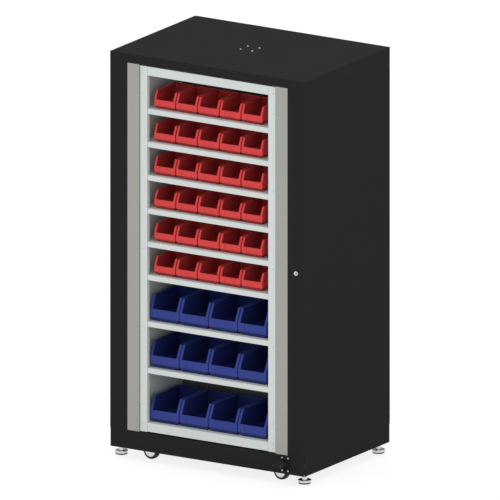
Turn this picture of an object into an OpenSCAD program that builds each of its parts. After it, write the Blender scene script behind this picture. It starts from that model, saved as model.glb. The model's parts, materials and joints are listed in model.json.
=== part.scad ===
// Rotary parts bin cabinet.
// A square carousel of shelves turns on a vertical spindle inside a steel case that is open at
// the front and the back.  Millimetres.  +Z is up, the user stands on the -Y side.
// The origin is on the floor, in the middle of the floor area that the cabinet takes up.

/* [Carousel] */
// Width and depth of the square carousel
carousel_size = 696; // [560:1:900]
// Width of the corner posts' front faces
post_w = 37; // [25:1:50]
// How far a post's folded edge goes in behind its face
post_return = 20; // [10:1:30]
// Height of the carousel's bottom rail
bottom_rail_h = 40; // [32:0.1:60]
// Height of the carousel's top rail
top_rail_h = 40; // [30:0.1:60]
// Height of the tall bay at the bottom
bottom_bay_h = 246.2; // [180:0.1:320]
// Number of bays above it for the large bins, counting the tall one
large_rows = 3; // [2:1:4]
// Spacing of the shelves for the large bins
large_bay_h = 210; // [160:1:280]
// Number of rows of small bins
small_rows = 6; // [3:1:7]
// Spacing of the shelves for the small bins
small_bay_h = 150; // [120:1:200]
// Height of a shelf's front lip
shelf_lip_h = 23.5; // [20:0.5:35]
// How far the shelf lips stand back from the posts
shelf_setback = 2; // [1:0.5:6]

/* [Large bins] */
// Width of a large bin
large_w = 145.5; // [110:0.5:180]
// Depth of a large bin
large_d = 240.5; // [180:0.5:260]
// Height of a large bin
large_h = 114.6; // [90:0.1:130]
// Top of the large bin's front lip
large_lip_z = 55; // [35:0.1:70]
// Distance that the large bin's sides slope back above the lip
large_slope = 29.6; // [15:0.1:45]
// Width of the large bin's rim
large_rim_w = 11.5; // [4:0.5:14]
// Distance of the first large bin from the left post
large_start = 3.5; // [1:0.5:30]
// Gap between neighbouring large bins
large_gap = 4.5; // [4:0.5:20]
// How far a large bin's lower edges are cut back
large_cut_in = 12; // [6:0.5:18]
// How far up a large bin's lower edges are cut back
large_cut_up = 17.4; // [8:0.1:24]
// Distance of a large bin's label recess from its sides
large_label_in = 33; // [18:0.5:50]

/* [Small bins] */
// Width of a small bin
small_w = 106; // [80:1:130]
// Depth of a small bin
small_d = 171; // [120:1:220]
// Height of a small bin
small_h = 80; // [60:0.1:95]
// Top of the small bin's front lip
small_lip_z = 41.6; // [28:0.1:50]
// Distance that the small bin's sides slope back above the lip
small_slope = 17; // [8:0.1:30]
// Width of the small bin's rim
small_rim_w = 9.5; // [3:0.5:12]
// Distance of the first small bin from the left post
small_start = 24; // [1:0.5:60]
// Gap between neighbouring small bins
small_gap = 6; // [4:0.5:20]
// How far a small bin's lower edges are cut back
small_cut_in = 10; // [5:0.5:14]
// How far up a small bin's lower edges are cut back
small_cut_up = 14; // [7:0.1:18]
// Distance of a small bin's label recess from its sides
small_label_in = 25.5; // [14:0.5:40]

/* [Every bin] */
// Wall of a bin
bin_wall = 2.5; // [1.5:0.1:4]
// Distance of the bins' fronts from the front of the carousel
bin_setback = 20; // [5:1:40]
// Depth of the recess for the label on a bin's lip
label_recess = 1.4; // [0.6:0.1:1.5]

/* [Case] */
// Thickness of the sheet that the case and the carousel are folded from
sheet = 1.5; // [1:0.1:3]
// Gap between the carousel's corners and the side walls
swing_gap = 7.55; // [4:0.05:20]
// Distance of the carousel's faces behind the case's faces
carousel_setback = 2; // [1:0.5:10]
// Width of the stiles beside the opening
stile_w = 89; // [60:1:120]
// Gap between the filler strips and the carousel
strip_gap = 2; // [2:0.5:20]
// Height of the top cap
cap_h = 40; // [36:1:60]
// Height of the plinth
plinth_h = 84; // [76:1:120]
// Gap under the carousel
gap_below = 4.8; // [4.6:0.1:10]
// Gap above the carousel
gap_above = 5; // [3:0.1:10]

/* [Undercarriage] */
// Radius of a caster's wheel
wheel_r = 40; // [30:1:50]
// Width of a caster's wheel
wheel_w = 25; // [14:1:32]
// Distance of a swivel caster's wheel from its kingpin
caster_trail = 22; // [14:1:23]
// Height of the casters' top plates above the skirt's lower edge
caster_recess = 54; // [50:1:60]
// Distance of the casters from the case's sides
caster_in_x = 146; // [146:1:200]
// Distance of the casters from the case's front and back
caster_in_y = 77; // [68.5:0.5:90]
// Angle that the front casters are swivelled to
caster_turn = -8.5; // [-180:0.1:180]
// Radius of a levelling foot
foot_r = 29; // [20:1:34]
// Radius of a levelling foot's stem
stem_r = 8; // [6:0.5:10]
// Radius of a levelling foot's neck, below the stem
foot_neck_r = 12; // [11:0.5:16]
// Gap between a levelling foot and the floor
foot_lift = 10; // [5:1:20]
// Distance of the levelling feet from the case's sides
foot_in_x = 29.5; // [29.5:0.5:40]
// Distance of the levelling feet from the case's front and back
foot_in_y = 46.5; // [38:0.5:50]

/* [Pedal and lock] */
// How far the pedal stands out in front of the case
pedal_reach = 75; // [55:1:90]
// Width of the pedal
pedal_w = 46; // [36:1:60]
// Distance of the pedal's middle from the case's right side
pedal_in = 100; // [96:1:110]
// Radius of the lock's face
lock_r = 10; // [9.5:0.5:16]
// Distance of the lock from the case's right side
lock_in = 44; // [30:1:60]

/* [Hidden] */
$fn = 48;

// Clearances
slip = 0.3;        // between pieces that pass each other
seam = 1;          // between a rail or a shelf lip and the posts
run = 0.05;        // radial, between a shaft and its bore
corner_cut = 0.5;  // between a folded sheet and the sheet around it

// Plan of the case and the carousel, about the carousel's axis
half = carousel_size / 2;
bend_r = 2 * sheet;  // outside, at the carousel's corners
corner_r = (half - bend_r) * sqrt(2) + bend_r;
case_w = 2 * ceil(corner_r + swing_gap + sheet);
case_d = carousel_size + 2 * carousel_setback;
side_x = case_w / 2;
face_y = case_d / 2;
stile_x = side_x - stile_w;
strip_x = half + strip_gap;
strip_clear = 1.5;   // between the strips' inner edges and the turning carousel
strip_return = face_y - sqrt(pow(corner_r + strip_clear, 2) - pow(strip_x, 2));
stile_return = 25;
inner_half = half - sheet - corner_cut;
post_x = half - post_w;
post_y = half - post_return;

// Heights above the floor
wheel_headroom = 25;
caster_h = 2 * wheel_r + wheel_headroom;
skirt_z = caster_h - caster_recess;
plinth_z = skirt_z + plinth_h;
carousel_z = plinth_z + gap_below;
rail_up = 2;  // from the posts' lower ends up to the bottom rail
deck_z = carousel_z + rail_up + bottom_rail_h;
large_top_z = deck_z + bottom_bay_h + (large_rows - 1) * large_bay_h;
rail_z = large_top_z + small_rows * small_bay_h;
carousel_top_z = rail_z + top_rail_h;
opening_z = carousel_top_z + gap_above;
case_top_z = opening_z + cap_h;
levels = [for (i = [0 : large_rows + small_rows - 1])
    i == 0 ? deck_z
    : i <= large_rows ? deck_z + bottom_bay_h + (i - 1) * large_bay_h
    : large_top_z + (i - large_rows) * small_bay_h];

// Base
deck_t = 2;
deck_hole_r = 110;
skirt_inset = 1.2;
skirt_seam = 2;    // between the ends of the skirt's band
skirt_x = side_x - skirt_inset;
skirt_y = face_y - skirt_inset;
tube_w = 110;
tube_wall = 2;
tube_top_z = plinth_z - deck_t;
tube_y = face_y - caster_in_y;
plate_t = 4;
caster_x = side_x - caster_in_x;
caster_plate = [80, 60];
fork_r = 28;
fork_t = 3;
kingpin_r = 5;
axle_r = 3;
hub_r = wheel_r * 0.73;
fork_gap = 1.5;
fork_end = 5.5;     // from a fork's axle down to its arms' ends
fork_end_w = 7;     // from a fork's axle to the sides of its arms' ends
foot_x = side_x - foot_in_x;
foot_y = face_y - foot_in_y;
foot_base_h = 6;  // the rubber base, which stands in from the rim
foot_base_in = 1.5;
foot_rim_h = 10.8;
foot_rim_w = 2.5;
foot_dish = 1.5;     // depth of the disc's hollow top
foot_rise = 15;      // how far a foot can be screwed up
foot_spare = 4;
foot_nut_h = 16;
foot_nut_r = stem_r + 6;
stem_spare = 7;  // the stem's length above its nut

// Bins
rim_t = 4;  // height of the thick rim round a bin's top

// Turntable bearing and top pivot
race_r = 150;
race_w = 40;
ball_r = 5;
ball_count = 36;
ball_z = plinth_z + 15;
ball_play = 0.25;
race_gap = 3;
race_track_t = 10;  // steel above the balls, below the upper race's hollow
race_wall = 3;
spindle_r = 12.5;
spindle_flange_r = 35;
spindle_flange_t = 8;
pivot_bolt_spacing = 60;
pivot_plate = 88;
pivot_plate_t = 8;
pivot_boss_r = 26;
channel_w = 150;
channel_t = 2;
channel_z = opening_z + 2;
bolt_r = 3;
bolt_head_r = 4;
bolt_head_h = 3.5;

// Brake: the pedal lifts a plunger against a ring under the carousel
pedal_x = side_x - pedal_in;
pedal_pivot_y = -(tube_y - tube_w / 2 + 12.5);
pedal_pivot_z = caster_h - 12;
pedal_mid_z = pedal_pivot_z + 2;
pedal_pin_r = 5;
lever_w = 20;
lever_t = 12;
lever_z = pedal_pivot_z - lever_t / 2;
crossbar_y = pedal_pivot_y + 35;
crossbar_r = 6;
crossbar_z = pedal_mid_z;
crossbar_end = 14;
pedal_pad_t = 5;
pedal_bare = 9;      // the strip of the tread in front of the pad
pedal_t = 8;
pedal_z = pedal_mid_z;
tread_back = 12;  // gap between the tread and the case
tread_lap = 8;    // the lever's length under the tread
ear_gap = 2.5;
ear_t = 4;
ear_r = 10;
pedal_plate_w = 44;
pedal_plate_t = 3;
pedal_press = 6.5;  // degrees that the pedal goes down
pedal_slot_spare = 1;
pedal_slot_h = 2 * (pedal_mid_z - lever_z + pedal_slot_spare
    + (skirt_y + pedal_plate_t + pedal_pivot_y) * sin(pedal_press));
pedal_bolt_x = 15;
pedal_bolt_z = pedal_slot_h / 2 + bolt_head_r + 1.6;
pedal_plate_h = 2 * (pedal_bolt_z + bolt_head_r + 5);
pedal_bolt_h = 2.5;
brake_ring_w = 36;
brake_ring_in = 5;  // inside the carousel's sides
brake_r = inner_half - brake_ring_in - brake_ring_w / 2;
brake_y = crossbar_y;
brake_x = sqrt(brake_r * brake_r - brake_y * brake_y);
brake_rod_r = 8;
brake_collar_r = 14;
brake_collar_t = 3;
brake_travel = 4;
brake_top_z = carousel_z - brake_travel - slip;
brake_foot_z = crossbar_z + crossbar_r + slip;
brake_ring_t = 5;
spring_wire_r = 1.2;
spring_r = brake_rod_r + 3;
spring_turns = 5;
guide_h = 10;
guide_r = 15;

// Lock
lock_x = side_x - lock_in;
lock_z = (carousel_z + carousel_top_z) / 2;
lock_body_r = 8;
lock_plug_r = 5.5;
lock_body_l = 28;
lock_face_t = 3;
cam_l = 34;
cam_w = 16;
cam_t = 3;

// Fasteners on the posts
screw_x = half - 12;
screw_r = 3;
screw_end = 124;   // distance of the end screws from the carousel's ends
screw_head_h = 1.2;

white = [0.80, 0.83, 0.82];
black = [0.16, 0.16, 0.16];
grey = [0.64, 0.64, 0.62];
zinc = [0.70, 0.71, 0.72];
steel = [0.55, 0.56, 0.58];
rubber = [0.10, 0.10, 0.10];
red = [0.80, 0.24, 0.24];
blue = [0.22, 0.26, 0.54];

// A block from its low corner to its high corner
module block(low, high) translate(low) cube(high - low);

// Everything is drawn about the carousel's axis, then moved so that the origin is under the
// middle of the cabinet and its pedal
module placed() translate([0, pedal_reach / 2, 0]) children();

// The same piece on the left (side = -1) or the right (side = 1)
module on_side(side) mirror([side < 0 ? 1 : 0, 0, 0]) children();

// The same piece at the front (end = -1) or the back (end = 1)
module at_end(end) mirror([0, end > 0 ? 1 : 0, 0]) children();

// A profile of [y, z] points, w wide along X
module across(w, profile) translate([w, 0, 0]) rotate([90, 0, -90]) mirror([1, 0, 0])
    linear_extrude(w) polygon(profile);

// ---------------------------------------------------------------- case

module base_skirt() placed() color(black) difference() {
    block([-skirt_x, -skirt_y, skirt_z], [skirt_x, skirt_y, plinth_z]);
    block([-skirt_x + sheet, -skirt_y + sheet, skirt_z - 1],
          [skirt_x - sheet, skirt_y - sheet, plinth_z + 1]);
    block([skirt_x - sheet - skirt_seam, -skirt_y - 1, skirt_z - 1],
          [skirt_x - sheet, -skirt_y + sheet, plinth_z + 1]);
    pedal_slot();
}

// The slot that the pedal's lever comes out of
module pedal_slot() block(
    [pedal_x - lever_w / 2 - 1, -face_y - 10, pedal_mid_z - pedal_slot_h / 2],
    [pedal_x + lever_w / 2 + 1, -skirt_y + 10, pedal_mid_z + pedal_slot_h / 2]);

module base_deck() placed() color(black) difference() {
    union() {
        block([-skirt_x + sheet, -skirt_y + sheet, plinth_z - deck_t],
              [skirt_x - sheet, skirt_y - sheet, plinth_z]);
        translate([brake_x, brake_y, plinth_z - deck_t - guide_h])
            cylinder(h = guide_h + 1, r = guide_r);
    }
    translate([0, 0, plinth_z - deck_t - 1]) cylinder(h = deck_t + 2, r = deck_hole_r);
    translate([brake_x, brake_y, plinth_z - deck_t - guide_h - 1])
        cylinder(h = guide_h + deck_t + 2, r = brake_rod_r + run);
}

module base_tubes() placed() color(black) for (end = [-1, 1]) at_end(end) difference() {
    block([-skirt_x + sheet + 1, -tube_y - tube_w / 2, caster_h],
          [skirt_x - sheet - 1, -tube_y + tube_w / 2, tube_top_z]);
    block([-skirt_x, -tube_y - tube_w / 2 + tube_wall, caster_h + tube_wall],
          [skirt_x, -tube_y + tube_w / 2 - tube_wall, tube_top_z - tube_wall]);
    for (side = [-1, 1]) translate([side * foot_x, -foot_y, caster_h - 1])
        cylinder(h = tube_wall + 2, r = stem_r + 1);
}

module foot_nuts() placed() color(zinc) for (side = [-1, 1], end = [-1, 1])
    translate([side * foot_x, end * foot_y, caster_h - foot_nut_h]) difference() {
        cylinder(h = foot_nut_h, r = foot_nut_r, $fn = 6);
        translate([0, 0, -1]) cylinder(h = foot_nut_h + 2, r = stem_r + run);
    }

module side_shell(side) placed() color(black) on_side(side) difference() {
    union() {
        block([side_x - sheet, -face_y, plinth_z], [side_x, face_y, opening_z]);
        for (end = [-1, 1]) at_end(end) {
            block([stile_x, -face_y, plinth_z], [side_x, -face_y + sheet, opening_z]);
            block([stile_x, -face_y, plinth_z], [stile_x + sheet, -face_y + stile_return, opening_z]);
        }
    }
    if (side > 0) translate([lock_x, -face_y - 1, lock_z]) rotate([-90, 0, 0])
        cylinder(h = sheet + 2, r = lock_body_r + 0.1);
}
module side_shell_left() side_shell(-1);
module side_shell_right() side_shell(1);

module top_cap() placed() color(black) difference() {
    block([-side_x, -face_y, opening_z], [side_x, face_y, case_top_z]);
    block([-side_x + sheet, -face_y + sheet, opening_z - 1],
          [side_x - sheet, face_y - sheet, case_top_z - sheet]);
    pivot_bolt_places() cylinder(h = 40, r = bolt_r + 0.2, center = true);
}

module pivot_bolt_places() for (x = [-1, 1], y = [-1, 1])
    translate([x * pivot_bolt_spacing / 2, y * pivot_bolt_spacing / 2, case_top_z]) children();

module top_channel() placed() color(black) difference() {
    block([-side_x + sheet + 1, -channel_w / 2, channel_z],
          [side_x - sheet - 1, channel_w / 2, case_top_z - sheet]);
    block([-side_x, -channel_w / 2 + channel_t, channel_z - 1],
          [side_x, channel_w / 2 - channel_t, case_top_z - sheet - channel_t]);
    pivot_bolt_places() cylinder(h = 40, r = bolt_r + 0.2, center = true);
}

module filler_strips(end) placed() color(grey) for (side = [-1, 1]) on_side(side) at_end(end) {
    block([strip_x, -face_y, plinth_z + seam], [stile_x, -face_y + sheet, opening_z - seam]);
    block([strip_x, -face_y, plinth_z + seam],
          [strip_x + sheet, -face_y + strip_return, opening_z - seam]);
    block([stile_x - sheet, -face_y, plinth_z + seam],
          [stile_x, -face_y + stile_return, opening_z - seam]);
}
module front_filler_strips() filler_strips(-1);
module rear_filler_strips() filler_strips(1);

module top_pivot_flange() placed() color(steel) difference() {
    plate_z = case_top_z - sheet - channel_t - pivot_plate_t;
    union() {
        translate([-pivot_plate / 2, -pivot_plate / 2, plate_z])
            cube([pivot_plate, pivot_plate, pivot_plate_t]);
        translate([0, 0, channel_z]) cylinder(h = plate_z - channel_z + 1, r = pivot_boss_r);
    }
    translate([0, 0, channel_z - 1])
        cylinder(h = plate_z - channel_z + pivot_plate_t + 2, r = spindle_r + run);
    pivot_bolt_places() cylinder(h = 60, r = bolt_r + 0.2, center = true);
}

module top_pivot_bolts() placed() color(zinc) pivot_bolt_places() {
    shank = sheet + channel_t + pivot_plate_t + 4;
    cylinder(h = bolt_head_h, r = bolt_head_r);
    translate([0, 0, -shank]) cylinder(h = shank + 1, r = bolt_r);
}

// ---------------------------------------------------------------- turntable bearing

module turntable_lower_race() placed() color(steel) rotate_extrude() difference() {
    translate([race_r - race_w / 2, plinth_z]) square([race_w, ball_z - race_gap / 2 - plinth_z]);
    translate([race_r, ball_z]) circle(r = ball_r + ball_play);
}

module turntable_balls() placed() color(zinc) for (i = [0 : ball_count - 1])
    rotate([0, 0, i * 360 / ball_count]) translate([race_r, 0, ball_z]) sphere(r = ball_r);

module turntable_upper_race() placed() color(steel) rotate_extrude() {
    lower = ball_z + race_gap / 2;
    difference() {
        translate([race_r - race_w / 2, lower]) square([race_w, deck_z - sheet - lower]);
        translate([race_r, ball_z]) circle(r = ball_r + ball_play);
        translate([race_r - race_w / 2 - 1, lower + race_track_t])
            square([race_w - race_wall + 1, deck_z - sheet - lower - race_track_t - race_wall]);
    }
}

module brake_ring() placed() color(steel) {
    rotate_extrude() translate([brake_r - brake_ring_w / 2, carousel_z])
        square([brake_ring_w, brake_ring_t]);
    for (i = [0 : 7]) rotate([0, 0, i * 45]) translate([brake_r, 0, carousel_z])
        cylinder(h = deck_z - sheet - carousel_z, r = 8);
}

module spindle() placed() color(steel) {
    flange_z = carousel_top_z - sheet - spindle_flange_t;
    translate([0, 0, flange_z]) cylinder(h = spindle_flange_t, r = spindle_flange_r);
    translate([0, 0, flange_z])
        cylinder(h = case_top_z - sheet - channel_t - 3 - flange_z, r = spindle_r);
}

// ---------------------------------------------------------------- carousel

// A folded pan: a plate at height z with an edge turned down h on all four sides, from y0 to
// y1.  Its ends are narrowed to pass between the posts' faces where notch0 or notch1 is true.
module pan(z, h, y0, y1, notch0, notch1) {
    low_y = notch0 ? -post_y + seam : y0;
    high_y = notch1 ? post_y - seam : y1;
    between = post_x - seam;
    difference() {
        union() {
            block([-inner_half, low_y, z - h], [inner_half, high_y, z]);
            block([-between, y0, z - h], [between, y1, z]);
        }
        block([-inner_half + sheet, low_y + sheet, z - h - 1],
              [inner_half - sheet, high_y - sheet, z - sheet]);
        block([-between + sheet, y0 + sheet, z - h - 1], [between - sheet, y1 - sheet, z - sheet]);
    }
}

module carousel_base() placed() color(white)
    pan(deck_z, bottom_rail_h, -half + corner_cut, half - corner_cut, true, true);

module carousel_top() placed() color(white) difference() {
    pan(carousel_top_z, top_rail_h, -half + corner_cut, half - corner_cut, true, true);
    translate([0, 0, carousel_top_z - 10]) cylinder(h = 20, r = spindle_r + 0.5);
}

// The inside of a corner fold, or what is cut off its outside, at the local origin
module fold(r) difference() {
    square(r);
    translate([r, r]) circle(r = r);
}

// Plan of one side: its panel, and a post folded on at each end
module side_plan() difference() {
    union() {
        translate([half - sheet, -half]) square([sheet, 2 * half]);
        for (end = [-1, 1]) mirror([0, end > 0 ? 1 : 0]) {
            translate([post_x, -half]) square([post_w, sheet]);
            translate([post_x, -half]) square([sheet, post_return]);
            translate([half - sheet, -half + sheet]) mirror([1, 0]) fold(bend_r - sheet);
        }
    }
    for (end = [-1, 1]) mirror([0, end > 0 ? 1 : 0])
        translate([half, -half]) mirror([1, 0]) fold(bend_r);
}

module carousel_side(side) placed() color(white) on_side(side)
    translate([0, 0, carousel_z]) linear_extrude(carousel_top_z - carousel_z) side_plan();
module carousel_side_left() carousel_side(-1);
module carousel_side_right() carousel_side(1);

module divider() placed() color(black)
    block([-inner_half, -sheet / 2, deck_z], [inner_half, sheet / 2, rail_z]);

// A front and a rear shelf at every level above the bottom deck, back to back on the divider
module shelves() placed() color(white) for (i = [1 : len(levels) - 1]) {
    pan(levels[i], shelf_lip_h, -half + shelf_setback, -sheet / 2, true, false);
    pan(levels[i], shelf_lip_h, sheet / 2, half - shelf_setback, false, true);
}

// Screw heights: five along the post, and a pair at each rail
function screw_heights() = let (step = (carousel_top_z - carousel_z - 2 * screw_end) / 4) concat(
    [for (k = [0 : 4]) carousel_z + screw_end + k * step],
    [carousel_z + 16, carousel_z + 34, carousel_top_z - 13, carousel_top_z - 30]);

module post_screws() placed() color(steel)
    for (side = [-1, 1], end = [-1, 1], z = screw_heights())
        translate([side * screw_x, end * half, z]) rotate([end * 90, 0, 0]) mirror([0, 0, 1])
            cylinder(h = screw_head_h, r = screw_r);

// ---------------------------------------------------------------- bins

// The bin's side view from y = 0 at the lip, with walls e taken off, and rim off its top
function bin_side(d, h, lip_z, slope, cut_in, cut_up, e, rim) = [
    [cut_in + e / 2, e], [d - cut_in - e / 2, e], [d - e, cut_up], [d - e, h - rim],
    [slope + e, h - rim], [e, lip_z - rim], [e, cut_up]];

// The bin's front view, likewise
function bin_front(w, h, cut_in, cut_up, e, rim) = [
    [cut_in + e / 2, e], [w - cut_in - e / 2, e], [w - e, cut_up], [w - e, h - rim],
    [e, h - rim], [e, cut_up]];

// The solid that fills a bin's outline, with walls e taken off, and rim off its top
module bin_solid(w, d, h, lip_z, slope, cut_in, cut_up, e, rim) intersection() {
    across(w, bin_side(d, h, lip_z, slope, cut_in, cut_up, e, rim));
    translate([0, d, 0]) rotate([90, 0, 0])
        linear_extrude(d) polygon(bin_front(w, h, cut_in, cut_up, e, rim));
}

// A plastic bin with a thick rim, open at the top and above its front lip, with its lower edges
// cut back and a recess for a label
module bin(w, d, h, lip_z, slope, rim_w, cut_in, cut_up, label_in) {
    difference() {
        bin_solid(w, d, h, lip_z, slope, cut_in, cut_up, 0, 0);
        bin_solid(w, d, h, lip_z, slope, cut_in, cut_up, bin_wall, rim_t);
        block([rim_w, rim_w, cut_up], [w - rim_w, d - rim_w, h + 1]);
        block([rim_w, -1, lip_z], [w - rim_w, slope + rim_w, h + 1]);
        block([label_in, -1, cut_up + 1.5], [w - label_in, label_recess, lip_z - 3]);
    }
}

// A row of bins standing on the shelf at height z, as many as fit between the posts
module bin_row(z, start, gap, w, d, h, lip_z, slope, rim_w, cut_in, cut_up, label_in) {
    pitch = w + gap;
    room = 2 * post_x - start;
    for (i = [0 : floor((room + gap) / pitch) - 1])
        translate([-post_x + start + i * pitch, -half + bin_setback, z + slip])
            bin(w, d, h, lip_z, slope, rim_w, cut_in, cut_up, label_in);
}

module large_bins_row(row) placed() color(blue) bin_row(levels[row - 1], large_start, large_gap,
    large_w, large_d, large_h, large_lip_z, large_slope, large_rim_w, large_cut_in, large_cut_up,
    large_label_in);

module small_bins_row(row) placed() color(red) bin_row(levels[large_rows + row - 1], small_start,
    small_gap, small_w, small_d, small_h, small_lip_z, small_slope, small_rim_w, small_cut_in,
    small_cut_up, small_label_in);

// ---------------------------------------------------------------- lock

module lock_barrel() placed() color(zinc) translate([lock_x, -face_y, lock_z])
    rotate([90, 0, 0]) difference() {
        union() {
            cylinder(h = lock_face_t, r = lock_r);
            translate([0, 0, -lock_body_l]) cylinder(h = lock_body_l + 1, r = lock_body_r);
        }
        translate([0, 0, -lock_body_l - 1])
            cylinder(h = lock_body_l + lock_face_t + 2, r = lock_plug_r + run);
    }

module lock_nut() placed() color(zinc) translate([lock_x, -face_y + sheet, lock_z])
    rotate([-90, 0, 0]) difference() {
        cylinder(h = 5, r = 14, $fn = 6);
        translate([0, 0, -1]) cylinder(h = 7, r = lock_body_r + 0.02);
    }

module lock_plug() placed() color(zinc) translate([lock_x, -face_y, lock_z])
    rotate([90, 0, 0]) difference() {
        translate([0, 0, -lock_body_l - slip])
            cylinder(h = lock_body_l + lock_face_t + slip, r = lock_plug_r);
        translate([-0.8, -4, lock_face_t - 3]) cube([1.6, 8, 4]);
    }

module lock_cam() placed() color(steel)
    translate([lock_x, -face_y + lock_body_l + slip, lock_z]) rotate([-90, 0, 0])
        linear_extrude(cam_t) union() {
            circle(r = cam_w / 2);
            translate([-cam_w / 2, 0]) square([cam_w, cam_l]);
        }

// ---------------------------------------------------------------- pedal and brake

module pedal_plate() placed() color(black) difference() {
    block([pedal_x - pedal_plate_w / 2, -skirt_y - pedal_plate_t, pedal_mid_z - pedal_plate_h / 2],
          [pedal_x + pedal_plate_w / 2, -skirt_y, pedal_mid_z + pedal_plate_h / 2]);
    pedal_slot();
}

module pedal_bolts() placed() color(zinc) for (x = [-1, 1], z = [-1, 1])
    translate([pedal_x + x * pedal_bolt_x, -skirt_y - pedal_plate_t,
               pedal_mid_z + z * pedal_bolt_z])
        rotate([90, 0, 0]) cylinder(h = pedal_bolt_h, r = bolt_head_r);

module pedal_bracket() placed() color(steel) difference() {
    ear_in = lever_w / 2 + ear_gap;
    union() {
        block([pedal_x - ear_in - ear_t, pedal_pivot_y - ear_r, caster_h - ear_t],
              [pedal_x + ear_in + ear_t, pedal_pivot_y + ear_r, caster_h]);
        for (side = [-1, 1]) translate([pedal_x, pedal_pivot_y, 0]) on_side(side)
            block([ear_in, -ear_r, pedal_pivot_z - ear_r], [ear_in + ear_t, ear_r, caster_h - 1]);
    }
    translate([pedal_x, pedal_pivot_y, pedal_pivot_z]) rotate([0, 90, 0])
        cylinder(h = 60, r = pedal_pin_r, center = true);
}

module pedal_pin() placed() color(zinc) translate([pedal_x, pedal_pivot_y, pedal_pivot_z])
    rotate([0, 90, 0]) {
        ear_out = lever_w / 2 + ear_gap + ear_t;
        cylinder(h = 2 * ear_out + 4, r = pedal_pin_r, center = true);
        translate([0, 0, ear_out]) cylinder(h = 3, r = pedal_pin_r + 2);
    }

// The lever from the pedal's tread to the crossbar that lifts the brake's plunger
module pedal_lever() placed() color(black) difference() {
    union() {
        block([pedal_x - lever_w / 2, -face_y - tread_back - tread_lap, lever_z],
              [pedal_x + lever_w / 2, crossbar_y, lever_z + lever_t]);
        block([pedal_x - pedal_w / 2, -face_y - pedal_reach, pedal_z],
              [pedal_x + pedal_w / 2, -face_y - tread_back, pedal_z + pedal_t]);
        translate([brake_x - crossbar_end, crossbar_y, crossbar_z]) rotate([0, 90, 0])
            cylinder(h = pedal_x - brake_x + crossbar_end + lever_w / 2, r = crossbar_r);
    }
    translate([pedal_x, pedal_pivot_y, pedal_pivot_z]) rotate([0, 90, 0])
        cylinder(h = 60, r = pedal_pin_r + run, center = true);
}

module pedal_pad() placed() color(rubber)
    block([pedal_x - pedal_w / 2 + 1, -face_y - pedal_reach + pedal_bare, pedal_z + pedal_t],
          [pedal_x + pedal_w / 2 - 1, -face_y - tread_back - 1, pedal_z + pedal_t + pedal_pad_t]);

module brake_plunger() placed() color(steel) translate([brake_x, brake_y, brake_foot_z]) {
    cylinder(h = brake_top_z - brake_foot_z, r = brake_rod_r);
    cylinder(h = brake_collar_t, r = brake_collar_r);
}

// Points of the spring's section n around the wire at turn angle a, rising by rise in all
function coil_ring(a, rise, n) = [for (j = [0 : n - 1])
    let (b = 360 * j / n, r = spring_r + spring_wire_r * cos(b))
        [r * cos(a), r * sin(a), rise * a / (360 * spring_turns) + spring_wire_r * sin(b)]];

// A round wire wound into a coil spring, as one closed tube
module coil_spring(rise) {
    n = 8;
    steps = 20 * spring_turns;
    points = [for (i = [0 : steps]) each coil_ring(360 * spring_turns * i / steps, rise, n)];
    walls = [for (i = [0 : steps - 1], j = [0 : n - 1])
        let (k = (j + 1) % n) [i * n + j, i * n + n + j, i * n + n + k, i * n + k]];
    polyhedron(points, concat(walls, [[for (j = [0 : n - 1]) j]],
        [[for (j = [n - 1 : -1 : 0]) steps * n + j]]), convexity = 8);
}

module brake_spring() placed() color(zinc) {
    low = brake_foot_z + brake_collar_t + spring_wire_r + slip;
    high = plinth_z - deck_t - guide_h - spring_wire_r - slip;
    translate([brake_x, brake_y, low]) coil_spring(high - low);
}

// ---------------------------------------------------------------- undercarriage

// The place of each caster, with its kingpin at the local origin
module at_caster(side, end) translate([side * caster_x, end * tube_y, 0]) children();

// The swivelling part of a front caster, with its wheel towards +X before it is turned
module at_swivel(side) at_caster(side, -1) rotate([0, 0, caster_turn]) on_side(-side) children();

// One fork: a crown, two arms down to the axle, and the riveted axle, wheel towards +X
module fork(trail, crown_top) {
    arm_y = wheel_w / 2 + fork_gap;
    translate([0, 0, caster_h - plate_t - 8]) cylinder(h = crown_top - caster_h + plate_t + 8,
        r = fork_r);
    for (end = [-1, 1]) at_end(end) translate([0, -arm_y, 0]) rotate([90, 0, 0])
        linear_extrude(fork_t) polygon([
            [-14, caster_h - plate_t - 6], [20, caster_h - plate_t - 6],
            [trail + fork_end_w, wheel_r + fork_end_w], [trail + fork_end_w, wheel_r - fork_end],
            [trail - fork_end_w, wheel_r - fork_end]]);
    translate([trail, 0, wheel_r]) rotate([90, 0, 0])
        cylinder(h = 2 * (arm_y + fork_t + 2), r = axle_r, center = true);
}

module caster_front_fork(side) placed() color(zinc) at_swivel(side) {
    fork(caster_trail, caster_h - plate_t - slip);
    translate([0, 0, caster_h - plate_t - 2]) cylinder(h = plate_t, r = kingpin_r);
}
module caster_front_left_fork() caster_front_fork(-1);
module caster_front_right_fork() caster_front_fork(1);

// Top plates of the swivel casters, and the rigid casters' plates with their forks
module caster_brackets() placed() color(zinc) for (side = [-1, 1]) {
    at_caster(side, -1) difference() {
        translate([-caster_plate[0] / 2, -caster_plate[1] / 2, caster_h - plate_t])
            cube([caster_plate[0], caster_plate[1], plate_t]);
        translate([0, 0, caster_h - plate_t - 1]) cylinder(h = plate_t + 2, r = kingpin_r + run);
    }
    at_caster(side, 1) rotate([0, 0, 90]) {
        translate([-caster_plate[1] / 2, -caster_plate[0] / 2, caster_h - plate_t])
            cube([caster_plate[1], caster_plate[0], plate_t]);
        fork(0, caster_h - plate_t);
    }
}

// A wheel's place, with its axle along Z: the front wheels trail inwards, the rear axles lie
// along X
module at_wheel(side, end) placed() {
    if (end < 0) at_swivel(side) translate([caster_trail, 0, wheel_r]) rotate([90, 0, 0]) children();
    else at_caster(side, end) translate([0, 0, wheel_r]) rotate([0, 90, 0]) children();
}

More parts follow.
